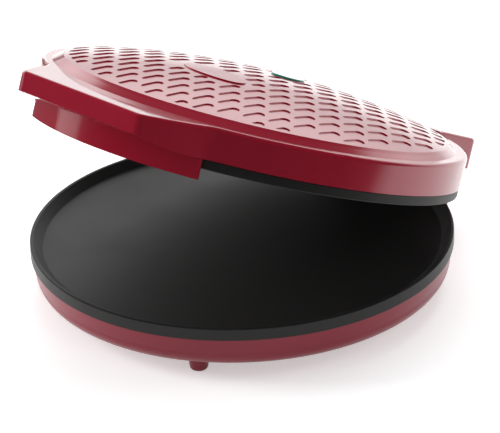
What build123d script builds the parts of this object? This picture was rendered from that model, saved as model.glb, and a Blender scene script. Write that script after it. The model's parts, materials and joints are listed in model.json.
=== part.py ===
"""Electric pizza maker: a round griddle base on four feet, and a hinged lid with a domed top.

Row frame: +Z up, the origin on the table under the centre of the round base, -Y the front with the
handle, +Y the hinge. Lid pieces are drawn closed, in a lid frame whose z = 0 is the lower edge of the
lid's wall, and are then swung open about the hinge to the angle at which the lid stands at rest.
"""
import os

from build123d import *

# The round rim of the lower plate, which the round parts of base and lid follow
rim_radius = 160.0

# Base: heights are above the table
foot_height = 11.0
foot_top_radius = 8.0
foot_tip_radius = 6.5
foot_tip_round = 3.0
foot_inset = 19.0
foot_bearing = 30.0
foot_spigot_radius = 3.0
shell_wall = 2.5
base_inset = 0.5
base_draft = 2.5
base_bottom_round = 12.0
base_top = 35.5
rim_top = 45.0
lip_width = 2.7
lip_round = 0.9
dish_wall_run = 6.8
dish_depth = 6.0
plate_thickness = 2.4

# Rear housing of the base and the hinge
housing_half_width = 50.0
housing_behind_hinge = 9.0
housing_bottom = 13.0
housing_top = 43.5
housing_corner = 8.0
hinge_setback = 11.8
hinge_z = 59.5
ear_inner_x = 32.0
ear_width = 12.0
knuckle_radius = 6.5
lug_width = 5.6
pin_radius = 2.5
pin_chamfer = 0.5
running_clearance = 0.05
side_clearance = 0.4
clip_width = 0.8
clip_radius = 4.5
lug_radius = 6.4

# Heating, the same in base and lid
boss_inset = 38.5
boss_bearing = 45.0
boss_radius = 4.5
screw_radius = 2.0
screw_head_radius = 3.8
screw_head_height = 2.6
fit_clearance = 0.1
reflector_inset = 12.5
reflector_sheet = 0.8
reflector_rim = 7.0
reflector_gap = 11.0
heater_inset = 12.0
heater_tube_radius = 3.3
heater_pin_radius = 1.65
heater_arc = 320.0
heater_pin_length = 14.0
strap_width = 10.0
strap_sheet = 1.0
strap_foot = 7.0
strap_clearance = 0.3
strap_bearings = (60.0, 180.0, 300.0)
pip_radius = 1.5
pip_height = 2.0
thermostat_radius = 8.0
thermostat_can_height = 3.9
thermostat_cap_radius = 6.4
thermostat_cap_height = 3.1
blade_reach = 16.0
blade_width = 4.0
blade_sheet = 1.0
fuse_radius = 2.2
fuse_length = 16.0
fuse_saddle_length = 8.0
fuse_x = 45.0

# Lid, in the lid frame
open_angle = 22.3
closed_gap = 0.4
lid_overhang = 3.2
lid_ledge = 24.0
lid_edge_round = 3.0
ledge_width = 8.7
band_run = 4.2
band_top = 27.0
bevel_run = 2.2
dome_edge = 28.8
dome_crown = 46.9
dome_tilt = 0.3
badge_y = -53.0
badge_half_length = 29.0
badge_half_width = 13.5
badge_height = 1.0
badge_round = 0.5
slot_length = 20.6
slot_width = 7.0
slot_depth = 0.9
slot_pitch = 27.1
slot_column_pitch = 12.8
first_slot = 10.3
slot_margin = 4.1
slot_clearance = 2.5
shortest_slot = 8.4
lens_y = 30.0
lens_radius = 13.0
lens_neck_radius = 7.2
lens_height = 1.4
lens_round = 0.7
lamp_radius = 3.0
lamp_round = 2.4
lamp_length = 8.0
lamp_floor = 31.5
lens_neck_bottom = 40.5
holder_wall = 3.0

# Handle and its guard
handle_reach = 27.8
handle_half_width = 60.0
handle_corner = 7.0
handle_root_bearing = 33.0
handle_root_sink = 4.0
handle_root_fillet = 22.0
flank_bulge = 3.0
bow_setback = 25.2
bow_radius = 160.0
bow_arc = 30.0
guard_clearance = 1.2
guard_wall = 2.6
guard_drop = 15.0
guard_bearing = 30.5
guard_panel = 2.2
guard_fit = 0.3
guard_screw_x = 24.0
guard_screw_inset = 13.0
guard_boss_radius = 3.6
guard_boss_wall = 1.6
guard_seat_thickness = 1.5
guard_head_recess = 0.3
guard_screw_length = 9.0
guard_screw_end_gap = 1.0

# Hood over the hinge
hood_half_width = 70.0
hood_behind_hinge = 12.0
hood_sink = 24.2
hood_flat = 6.0
hood_bottom = -2.0
hood_top_front = 27.5
hood_top_rear = 23.4
hood_corner = 6.0
hood_edge_round = 2.5
notch_top = 15.0
notch_clearance = 1.0

# Upper plate, in the lid frame
upper_rim_inset = 0.8
upper_rim_depth = 7.5
upper_gap = 0.5
upper_dish_wall_run = 7.2
upper_dish_floor = -2.0
spigot_height = 4.0
tab_bottom = 9.5
tab_half_width = 5.0
tab_end_margin = 6.0
tab_screw_length = 9.0
lid_boss_radius = 4.5
front_tab_x = 40.0
front_tab_reach = 8.8
rear_tab_x = 58.0
rear_tab_reach = 4.8
window_clearance = 1.0

# Electrical pieces in the housing
block_length = 24.0
block_depth = 12.0
block_height = 11.0
block_x = -22.0
block_setback = 12.0
wire_ways = 3
wire_way_radius = 2.0
clamp_hole_radius = 1.6
clamp_hole_depth = 3.7
gland_x = 22.0
gland_z = 28.0
gland_neck_radius = 6.0
gland_flange_radius = 8.5
gland_inner_radius = 7.5
gland_flange = 2.5
gland_bore_radius = 3.5

# Sizes and places that follow from those above
base_radius = rim_radius - base_inset
base_waist_radius = base_radius - base_draft
foot_ring_radius = base_waist_radius - foot_inset
dish_radius = rim_radius - lip_width - dish_wall_run
boss_ring_radius = dish_radius - boss_inset
reflector_radius = dish_radius - reflector_inset
heater_ring_radius = boss_ring_radius - heater_inset
lid_radius = rim_radius + lid_overhang
band_radius = lid_radius - ledge_width
band_top_radius = band_radius - band_run
dome_radius = band_top_radius - bevel_run
dome_rise = dome_crown - dome_edge
dome_sphere = (dome_radius**2 + dome_rise**2) / (2 * dome_rise)
slot_field_radius = dome_radius - slot_margin
handle_front = lid_radius + handle_reach
bow_start = lid_radius - bow_setback
guard_inner_radius = lid_radius + guard_clearance
guard_outer_radius = guard_inner_radius + guard_wall
guard_screw_y = guard_screw_inset - handle_front
hinge_y = lid_radius + hinge_setback
housing_rear = hinge_y + housing_behind_hinge
hood_rear = hinge_y + hood_behind_hinge
hood_start = lid_radius - hood_sink
hood_top_front_y = hood_start + hood_flat
upper_rim_radius = lid_radius - upper_rim_inset
upper_dish_radius = upper_rim_radius - lip_width - upper_dish_wall_run
front_tab = (front_tab_x, -lid_radius - front_tab_reach)
rear_tab = (rear_tab_x, lid_radius + rear_tab_reach)
floor_z = foot_height
floor_top = floor_z + shell_wall
dish_floor = rim_top - dish_depth
plate_under = dish_floor - plate_thickness
reflector_z = plate_under - reflector_gap - reflector_sheet
lid_base_z = rim_top + closed_gap + upper_rim_depth
lid_ceiling = lid_ledge - shell_wall
upper_plate_top = upper_dish_floor + plate_thickness
hinge_local_z = hinge_z - lid_base_z
far = 400.0

os.makedirs("parts", exist_ok=True)


def save(part, name):
    """Label a finished piece and write it as its own file."""
    part.label = name
    export_step(part, f"parts/{name}.step")


def save_lid_piece(part, name):
    """Swing a piece of the closed lid open about the hinge, then save it."""
    hinge = Location((0, hinge_y, hinge_z))
    to_hinge = Location((0, -hinge_y, lid_base_z - hinge_z))
    save(part.moved(hinge * Rotation(-open_angle, 0, 0) * to_hinge), name)


def ring_of(radius, bearing):
    """Four places on a ring, the same bearing either side of the front and of the rear."""
    angles = (-90 + bearing, -90 - bearing, 90 + bearing, 90 - bearing)
    return [Location(Vector(radius, 0, 0).rotate(Axis.Z, angle)) for angle in angles]


feet_at = ring_of(foot_ring_radius, foot_bearing)
bosses_at = ring_of(boss_ring_radius, boss_bearing)
tabs_at = [
    (side * x, y) for x, y in (front_tab, rear_tab) for side in (-1, 1)
]


def rods(places, radius, bottom, top):
    """Round bars on the given places, each from bottom to top."""
    with BuildPart() as bars:
        with BuildSketch(Plane.XY.offset(bottom)):
            with Locations(*places):
                Circle(radius)
        extrude(amount=top - bottom)
    return bars.part


def screws(places, seat, length, direction=1):
    """Pan-head screws whose heads bear on the seat and whose shanks run the given way from it."""
    head_end = seat - direction * screw_head_height
    shank_end = seat + direction * length
    return Compound(
        children=[
            (rods([place], screw_head_radius, min(seat, head_end), max(seat, head_end))
             + rods([place], screw_radius, min(seat, shank_end), max(seat, shank_end))).solid()
            for place in places
        ]
    )


# Base shell with its rear housing and the two hinge ears
with BuildPart() as base_shell:
    with BuildSketch(Plane.XZ):
        with BuildLine():
            round_start = (base_waist_radius - base_bottom_round, floor_z)
            round_end = (base_waist_radius, floor_z + base_bottom_round)
            Line((0, floor_z), round_start)
            JernArc(round_start, (1, 0), base_bottom_round, 90)
            Polyline(round_end, (base_radius, base_top), (0, base_top), (0, floor_z))
        make_face()
    revolve(axis=Axis.Z)
    with BuildSketch(Plane.XY.offset(housing_bottom)):
        with BuildLine():
            Polyline(
                (-housing_half_width, 0),
                (housing_half_width, 0),
                (housing_half_width, housing_rear),
                (-housing_half_width, housing_rear),
                close=True,
            )
        make_face()
    extrude(amount=housing_top - housing_bottom)
    rear_corners = base_shell.edges().filter_by(Axis.Z).group_by(Axis.Y)[-1]
    fillet(rear_corners, housing_corner)
    with BuildSketch(Plane.XY.offset(base_top)):
        Circle(rim_radius + side_clearance)
    extrude(amount=far, mode=Mode.SUBTRACT)
    inner_round = base_bottom_round - shell_wall
    with BuildSketch(Plane.XZ):
        with BuildLine():
            inner_start = (round_start[0], floor_top)
            inner_end = (base_waist_radius - shell_wall, floor_top + inner_round)
            Line((0, floor_top), inner_start)
            JernArc(inner_start, (1, 0), inner_round, 90)
            Polyline(
                inner_end, (base_radius - shell_wall, base_top), (0, base_top), (0, floor_top)
            )
        make_face()
    revolve(axis=Axis.Z, mode=Mode.SUBTRACT)
    cavity_top = housing_top - shell_wall
    with BuildPart(mode=Mode.PRIVATE) as housing_cavity:
        with BuildSketch(Plane.XY.offset(housing_bottom + shell_wall)):
            with BuildLine():
                inner_half = housing_half_width - shell_wall
                Polyline(
                    (-inner_half, dish_radius),
                    (inner_half, dish_radius),
                    (inner_half, housing_rear - shell_wall),
                    (-inner_half, housing_rear - shell_wall),
                    close=True,
                )
            make_face()
        extrude(amount=cavity_top - housing_bottom - shell_wall)
        with BuildSketch(Plane.XY.offset(base_top - shell_wall)):
            Circle(rim_radius + side_clearance + shell_wall)
        extrude(amount=far, mode=Mode.SUBTRACT)
    add(housing_cavity.part, mode=Mode.SUBTRACT)
    with BuildSketch(Plane.YZ.offset(ear_inner_x)):
        with Locations((hinge_y, hinge_z)):
            Circle(knuckle_radius)
        with Locations((hinge_y, (housing_top + hinge_z) / 2)):
            Rectangle(2 * knuckle_radius, hinge_z - housing_top)
    ears = extrude(amount=ear_width)
    mirror(ears, about=Plane.YZ)
    with BuildSketch(Plane.YZ):
        with Locations((hinge_y, hinge_z)):
            Circle(pin_radius)
    extrude(amount=far, both=True, mode=Mode.SUBTRACT)
    with BuildSketch(Plane.XY.offset(floor_top)):
        with Locations(*bosses_at):
            Circle(screw_head_radius + shell_wall)
    extrude(amount=reflector_z - floor_top)
    head_seat = floor_z + 2 * screw_head_height
    with BuildSketch(Plane.XY.offset(floor_z)):
        with Locations(*bosses_at):
            Circle(screw_head_radius + fit_clearance)
    extrude(amount=head_seat - floor_z, mode=Mode.SUBTRACT)
    with BuildSketch(Plane.XY.offset(floor_z)):
        with Locations(*bosses_at):
            Circle(screw_radius + fit_clearance)
    extrude(amount=reflector_z - floor_z, mode=Mode.SUBTRACT)
    with BuildSketch(Plane.XY.offset(floor_z)):
        with Locations(*feet_at):
            Circle(foot_spigot_radius + fit_clearance)
    extrude(amount=shell_wall, mode=Mode.SUBTRACT)
    with BuildSketch(Plane.XZ.offset(-housing_rear + shell_wall)):
        with Locations((gland_x, gland_z)):
            Circle(gland_neck_radius + fit_clearance)
    extrude(amount=-2 * shell_wall, mode=Mode.SUBTRACT)
save(base_shell.part, "base_shell")

# Feet: tapered studs with a rounded tip and a spigot pressed into the floor of the shell
with BuildPart() as feet:
    with BuildSketch(Plane.XZ):
        with BuildLine():
            Polyline(
                (0, 0),
                (foot_tip_radius, 0),
                (foot_top_radius, foot_height),
                (foot_spigot_radius, foot_height),
                (foot_spigot_radius, foot_height + shell_wall),
                (0, foot_height + shell_wall),
                close=True,
            )
        make_face()
    revolve(axis=Axis.Z)
    fillet(feet.edges().group_by(Axis.Z)[0], foot_tip_round)
save(Compound(children=[feet.part.solid().moved(place) for place in feet_at]), "feet")


def dish_profile(direction, floor_level, rim_level, radius, inner_dish_radius, rim_end):
    """Section of a pressed plate: flat floor, sloping wall, narrow lip and an outer skirt.

    The direction is +1 for a dish that opens upwards and -1 for one that opens downwards.
    """
    lip_radius = radius - lip_width
    back = floor_level - direction * plate_thickness
    slope = Vector(lip_radius - inner_dish_radius, rim_level - floor_level)
    normal = Vector(slope.Y, -slope.X).normalized() * plate_thickness
    skirt_inner = radius - plate_thickness
    start = Vector(inner_dish_radius, floor_level) + (normal if direction > 0 else -normal)
    run = slope.Y / slope.X
    back_radius = start.X + (back - start.Y) / run
    skirt_level = start.Y + (skirt_inner - start.X) * run
    return [
        (0, floor_level),
        (inner_dish_radius, floor_level),
        (lip_radius, rim_level),
        (radius, rim_level),
        (radius, rim_end),
        (skirt_inner, rim_end),
        (skirt_inner, skirt_level),
        (back_radius, back),
        (0, back),
    ]


def pips_at():
    """Places of the cast pips that the heater straps are staked on."""
    offset = heater_tube_radius + strap_sheet + strap_foot / 2
    return [
        Location(Vector(heater_ring_radius + side * offset, 0, 0).rotate(Axis.Z, 90 + bearing))
        for bearing in strap_bearings
        for side in (-1, 1)
    ]


# Lower plate: its dish takes the food, and its bosses and pips hang below it
with BuildPart() as lower_plate:
    with BuildSketch(Plane.XZ):
        with BuildLine():
            Polyline(
                *dish_profile(1, dish_floor, rim_top, rim_radius, dish_radius, base_top), close=True
            )
        make_face()
    revolve(axis=Axis.Z)
    rim_edges = lower_plate.edges().filter_by(GeomType.CIRCLE).filter_by(
        lambda edge: abs(edge.center().Z - rim_top) < fit_clearance
    )
    fillet(rim_edges, lip_round)
    add(rods(bosses_at, boss_radius, reflector_z + reflector_sheet, plate_under))
    add(rods(pips_at(), pip_radius, plate_under - pip_height, plate_under))
    add(
        rods(bosses_at, screw_radius + fit_clearance, 0, plate_under - strap_sheet),
        mode=Mode.SUBTRACT,
    )
save(lower_plate.part, "lower_plate")


def heater(centre_z):
    """Tubular element bent into a ring that is open at the rear, with a terminal at each end."""
    with BuildPart() as element:
        with BuildSketch(Plane.XZ):
            with Locations((heater_ring_radius, centre_z)):
                Circle(heater_tube_radius)
        revolve(axis=Axis.Z, revolution_arc=heater_arc)
        with BuildSketch(Plane.XZ):
            with Locations((heater_ring_radius, centre_z)):
                Circle(heater_pin_radius)
        extrude(amount=heater_pin_length)
        end_plane = Plane.XZ.rotated((0, 0, heater_arc))
        with BuildSketch(end_plane):
            with Locations((heater_ring_radius, centre_z)):
                Circle(heater_pin_radius)
        extrude(amount=-heater_pin_length)
    gap_to_rear = 90 + (360 - heater_arc) / 2
    return element.part.rotate(Axis.Z, gap_to_rear)


def straps(face_z, centre_z):
    """Straps that hold the element against its plate, each a saddle with two staked feet."""
    side = 1 if face_z > centre_z else -1
    with BuildPart() as strap:
        with BuildSketch(Plane.XZ):
            with Locations((heater_ring_radius, centre_z)):
                Circle(heater_tube_radius + strap_sheet)
            with Locations((heater_ring_radius, face_z - side * strap_sheet / 2)):
                Rectangle(2 * (heater_tube_radius + strap_sheet + strap_foot), strap_sheet)
            with Locations((heater_ring_radius, centre_z)):
                Circle(heater_tube_radius + strap_clearance, mode=Mode.SUBTRACT)
            with Locations((heater_ring_radius, face_z + side * heater_tube_radius)):
                Rectangle(4 * strap_foot, 2 * heater_tube_radius, mode=Mode.SUBTRACT)
        extrude(amount=strap_width / 2, both=True)
    pips = rods(pips_at(), pip_radius + fit_clearance, face_z - strap_foot, face_z + strap_foot)
    return Compound(
        children=[
            (strap.part.rotate(Axis.Z, 90 + bearing) - pips).solid() for bearing in strap_bearings
        ]
    )


def reflector(sheet_bottom, rim_direction):
    """Tray of thin sheet behind the element, with a hole at each screw."""
    with BuildPart() as tray:
        with BuildSketch(Plane.XY.offset(sheet_bottom)):
            Circle(reflector_radius)
            with Locations(*bosses_at):
                Circle(screw_radius + fit_clearance, mode=Mode.SUBTRACT)
        extrude(amount=reflector_sheet)
        rim_bottom = sheet_bottom if rim_direction > 0 else sheet_bottom + reflector_sheet - reflector_rim
        with BuildSketch(Plane.XY.offset(rim_bottom)):
            Circle(reflector_radius)
            Circle(reflector_radius - reflector_sheet, mode=Mode.SUBTRACT)
        extrude(amount=reflector_rim)
    return tray.part


def thermostat(face_z, direction):
    """Snap-disc thermostat: a round can against the plate, a narrower cap and two blades."""
    can_end = face_z + direction * thermostat_can_height
    with BuildPart() as disc:
        with BuildSketch(Plane.XY.offset(face_z)):
            Circle(thermostat_radius)
        extrude(amount=direction * thermostat_can_height)
        with BuildSketch(Plane.XY.offset(can_end)):
            Circle(thermostat_cap_radius)
        extrude(amount=direction * thermostat_cap_height)
        with BuildSketch(Plane.XY.offset(can_end)):
            Rectangle(2 * blade_reach, blade_width)
        extrude(amount=direction * blade_sheet)
    return disc.part


heater_z = plate_under - heater_tube_radius - running_clearance
save(heater(heater_z), "lower_heater")
save(straps(plate_under, heater_z), "lower_heater_straps")
save(reflector(reflector_z, 1), "lower_reflector")
save(thermostat(plate_under, -1), "lower_thermostat")
save(screws(bosses_at, head_seat, plate_under - 3 * strap_sheet - head_seat), "base_screws")

# Thermal fuse: a sleeved capsule in a saddle against the plate
fuse_z = plate_under - strap_sheet - fuse_radius
with BuildPart() as thermal_fuse:
    with BuildSketch(Plane.XZ):
        with Locations((fuse_x, fuse_z)):
            Circle(fuse_radius)
    extrude(amount=fuse_length / 2, both=True)
    with BuildSketch(Plane.XY.offset(plate_under)):
        with Locations((fuse_x, 0)):
            Rectangle(2 * fuse_radius, fuse_saddle_length)
    extrude(amount=-strap_sheet - fuse_radius)
save(thermal_fuse.part, "thermal_fuse")

# Terminal block on the housing's floor, with its wire ways and clamp holes
with BuildPart() as terminal_block:
    block_floor = housing_bottom + shell_wall
    block_y = hinge_y - block_setback
    with BuildSketch(Plane.XY.offset(block_floor)):
        with Locations((block_x, block_y)):
            Rectangle(block_length, block_depth)
    extrude(amount=block_height)
    pitch = block_length / wire_ways
    with BuildSketch(Plane.XZ.offset(-block_y - block_depth)):
        with Locations((block_x, block_floor + block_height / 2)):
            with GridLocations(pitch, 0, wire_ways, 1):
                Circle(wire_way_radius)
    extrude(amount=2 * block_depth, mode=Mode.SUBTRACT)
    with BuildSketch(Plane.XY.offset(block_floor + block_height)):
        with Locations((block_x, block_y)):
            with GridLocations(pitch, block_depth / 2, wire_ways, 2):
                Circle(clamp_hole_radius)
    extrude(amount=-clamp_hole_depth, mode=Mode.SUBTRACT)
save(terminal_block.part, "terminal_block")

# Grommet in the housing's rear wall
with BuildPart() as cord_gland:
    with BuildSketch(Plane.XZ.offset(-housing_rear)):
        with Locations((gland_x, gland_z)):
            Circle(gland_flange_radius)
    extrude(amount=-gland_flange)
    with BuildSketch(Plane.XZ.offset(-housing_rear)):
        with Locations((gland_x, gland_z)):
            Circle(gland_neck_radius)
    extrude(amount=shell_wall)
    with BuildSketch(Plane.XZ.offset(-housing_rear + shell_wall)):
        with Locations((gland_x, gland_z)):
            Circle(gland_inner_radius)
    extrude(amount=gland_flange)
    with BuildSketch(Plane.XZ.offset(-housing_rear)):
        with Locations((gland_x, gland_z)):
            Circle(gland_bore_radius)
    extrude(amount=housing_rear, both=True, mode=Mode.SUBTRACT)
save(cord_gland.part, "cord_gland")

# Hinge pins through the ears, with a spring clip at each end
lug_inner_x = ear_inner_x - side_clearance - lug_width
lug_outer_x = ear_inner_x + ear_width + side_clearance
pin_start = lug_inner_x - side_clearance - 2 * clip_width
pin_end = lug_outer_x + lug_width + side_clearance + 2 * clip_width
with BuildPart() as hinge_pins:
    with BuildSketch(Plane.YZ.offset(pin_start)):
        with Locations((hinge_y, hinge_z)):
            Circle(pin_radius)
    extrude(amount=pin_end - pin_start)
    chamfer(hinge_pins.edges().filter_by(GeomType.CIRCLE), pin_chamfer)
    mirror(about=Plane.YZ)
save(Compound(children=list(hinge_pins.part.solids())), "hinge_pins")

with BuildPart() as pin_clips:
    for clip_x in (pin_start + clip_width, pin_end - 2 * clip_width):
        with BuildSketch(Plane.YZ.offset(clip_x)):
            with Locations((hinge_y, hinge_z)):
                Circle(clip_radius)
                Circle(pin_radius, mode=Mode.SUBTRACT)
        extrude(amount=clip_width)
    mirror(about=Plane.YZ)
save(Compound(children=list(pin_clips.part.solids())), "pin_clips")


def handle_outline(inset):
    """Plan of the handle out to its slightly bowed flanks, less the inset, down to the lid's centre."""
    root_radius = lid_radius - handle_root_sink
    root = Vector(0, -root_radius, 0).rotate(Axis.Z, handle_root_bearing)
    corner = Vector(handle_half_width, -handle_front)
    across = Vector(root.Y - corner.Y, corner.X - root.X).normalized()
    middle = (root + corner) / 2 + across * (flank_bulge - inset)
    root = root - across * inset
    corner = corner - across * inset
    front = Vector(corner.X, inset - handle_front)
    with BuildSketch() as plan:
        with BuildLine():
            ThreePointArc(front, middle, root)
            Polyline(root, (0, 0), (0, front.Y), front)
        make_face()
        mirror(about=Plane.YZ)
        fillet(plan.vertices().group_by(Axis.Y)[0].sort_by(Axis.X)[0], handle_corner - inset)
        fillet(plan.vertices().group_by(Axis.Y)[0].sort_by(Axis.X)[-1], handle_corner - inset)
    return plan.sketch


def under_bow(raise_by):
    """Everything below the handle's bowed underside, raised by the given amount."""
    with BuildPart() as under:
        with BuildSketch(Plane.YZ):
            with BuildLine():
                start = (-bow_start, raise_by)
                bow = JernArc(start, (-1, 0), bow_radius, -bow_arc)
                end = bow @ 1
                Polyline(end, (end.X, -far), (far, -far), (far, raise_by), start)
            make_face()
        extrude(amount=far, both=True)
    return under.part


def dome_profile(inset):
    """Section of the domed top, from its axis out over its two-part band and down into the ledge."""
    crown = dome_crown - inset
    edge_radius = dome_radius - inset
    sphere = dome_sphere - inset
    edge_z = crown - sphere + (sphere**2 - edge_radius**2) ** 0.5
    foot_radius = 2 * band_radius - band_top_radius
    foot_z = 2 * lid_ledge - band_top
    with BuildSketch(Plane.XZ) as section:
        with BuildLine():
            RadiusArc((0, crown), (edge_radius, edge_z), sphere)
            if inset:
                Polyline((edge_radius, edge_z), (edge_radius, 0), (0, 0), (0, crown))
            else:
                band = ((band_top_radius, band_top), (foot_radius, foot_z))
                Polyline((edge_radius, edge_z), *band, (0, foot_z), (0, crown))
        make_face()
    return section.sketch


def tilt_dome(part):
    """Tip the domed top forwards about its edge."""
    edge = Location((0, 0, dome_edge))
    return part.moved(edge * Rotation(-dome_tilt, 0, 0) * edge.inverse())


def ball(radius):
    """Sphere about the dome's centre, tipped with it."""
    centre = Location((0, 0, dome_crown - dome_sphere))
    return tilt_dome(Solid.make_sphere(radius, angle1=-90).moved(centre))


def spans_beside(span, x, hole_y, half_x, half_y):
    """What is left of a slot's span once an oval and its clearance are taken out of it."""
    reach = max(abs(x) - slot_width / 2, 0) / (half_x + slot_clearance)
    if reach >= 1:
        return [span]
    gap = (half_y + slot_clearance) * (1 - reach**2) ** 0.5
    low, high = span
    parts = ((low, min(high, hole_y - gap)), (max(low, hole_y + gap), high))
    return [part for part in parts if part[1] > part[0]]


def slot_spans(x, y):
    """Stretches of one slot that lie in the slot field, clear of the badge and of the lens."""
    edge = (slot_field_radius**2 - (abs(x) + slot_width / 2) ** 2) ** 0.5
    spans = [(max(y - slot_length / 2, -edge), min(y + slot_length / 2, edge))]
    for hole in ((badge_y, badge_half_length, badge_half_width), (lens_y, lens_radius, lens_radius)):
        spans = [part for span in spans for part in spans_beside(span, x, *hole)]
    return [span for span in spans if span[1] - span[0] > shortest_slot]


def dome_slots():
    """Cutters for the dome's recessed slots, square-ended here, with floors that follow the dome."""
    columns = int((slot_field_radius - slot_width / 2) / slot_column_pitch + 0.5)
    rows = int(slot_field_radius / slot_pitch) + 1
    with BuildPart() as cutters:
        with BuildSketch(Plane.XY.offset(lid_ledge)):
            for column in range(-columns, columns):
                x = slot_column_pitch * (column + 0.5)
                shift = first_slot - column % 2 * slot_pitch / 2
                for row in range(-rows, rows + 1):
                    for low, high in slot_spans(x, shift + row * slot_pitch):
                        with Locations((x, (low + high) / 2)):
                            Rectangle(slot_width, high - low)
        extrude(amount=dome_crown)
        floor_centre = Location((0, 0, dome_crown - dome_sphere))
        floor_ball = Solid.make_sphere(dome_sphere - slot_depth, angle1=-90)
        add(floor_ball.moved(floor_centre), mode=Mode.SUBTRACT)
    return tilt_dome(cutters.part)


def round_and_handle(inset):
    """Plan of the lid's round wall with the handle blended into it, less the inset."""
    wall_radius = lid_radius - inset
    with BuildSketch() as plan:
        Circle(wall_radius)
        add(handle_outline(inset))
        roots = plan.vertices().filter_by(
            lambda v: v.Y < 0 and abs((v.X**2 + v.Y**2) ** 0.5 - wall_radius) < fit_clearance
        )
        fillet(roots, handle_root_fillet + inset)
    return plan.sketch


def hood_block(inset):
    """The hood over the hinge, with its sloping top, less the inset."""
    half = hood_half_width - inset
    rear = hood_rear - inset
    with BuildPart() as block:
        with BuildSketch(Plane.YZ):
            with BuildLine():
                Polyline(
                    (hood_start, hood_bottom - inset),
                    (rear, hood_bottom - inset),
                    (rear, hood_top_rear - inset),
                    (hood_top_front_y, hood_top_front - inset),
                    (hood_start, hood_top_front - inset),
                    close=True,
                )
            make_face()
        extrude(amount=half, both=True)
        corners = block.edges().filter_by(Axis.Z).group_by(Axis.Y)[-1]
        fillet(corners, hood_corner - inset)
        if not inset:
            rear_face = block.faces().sort_by(Axis.Y)[-1]
            fillet(rear_face.edges().sort_by(Axis.Z)[-1], hood_edge_round)
    return block.part


def on_outer_ledge(edge):
    """Whether an edge runs along the outside of the lid's ledge or of the handle's top."""
    ends = (edge @ 0, edge @ 0.5, edge @ 1)
    return all(
        abs(p.Z - lid_ledge) < fit_clearance and p.X**2 + p.Y**2 > (lid_radius - fit_clearance) ** 2
        for p in ends
    )


def bow_height(y):
    """Height of the handle's bowed underside at the given y."""
    reach = max(abs(y) - bow_start, 0)
    return bow_radius - (bow_radius**2 - reach**2) ** 0.5


def boxes(places, half_width, y_span, z_span):
    """Upright blocks of one width on the given x places, each over its own y span."""
    with BuildPart() as blocks:
        for (x, y), (y_low, y_high) in zip(places, y_span):
            with BuildSketch(Plane.XY.offset(z_span[0])):
                with Locations((x, (y_low + y_high) / 2)):
                    Rectangle(2 * half_width, y_high - y_low)
            extrude(amount=z_span[1] - z_span[0])
    return blocks.part


tab_top = tab_bottom + plate_thickness
lid_bore_top = tab_bottom + tab_screw_length + fit_clearance
spigot_radius = lid_radius - shell_wall - side_clearance - fit_clearance
front_span = (-lid_radius, -boss_ring_radius)
rear_span = (boss_ring_radius, lid_radius)
window_spans = [rear_span if y > 0 else front_span for x, y in tabs_at]
guard_screws_at = [(-guard_screw_x, guard_screw_y), (guard_screw_x, guard_screw_y)]
guard_recess_radius = screw_head_radius + fit_clearance
guard_deepest = bow_height(abs(guard_screw_y) + guard_recess_radius)
guard_head = guard_deepest + guard_head_recess + screw_head_height
guard_seat = guard_head + guard_seat_thickness

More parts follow.
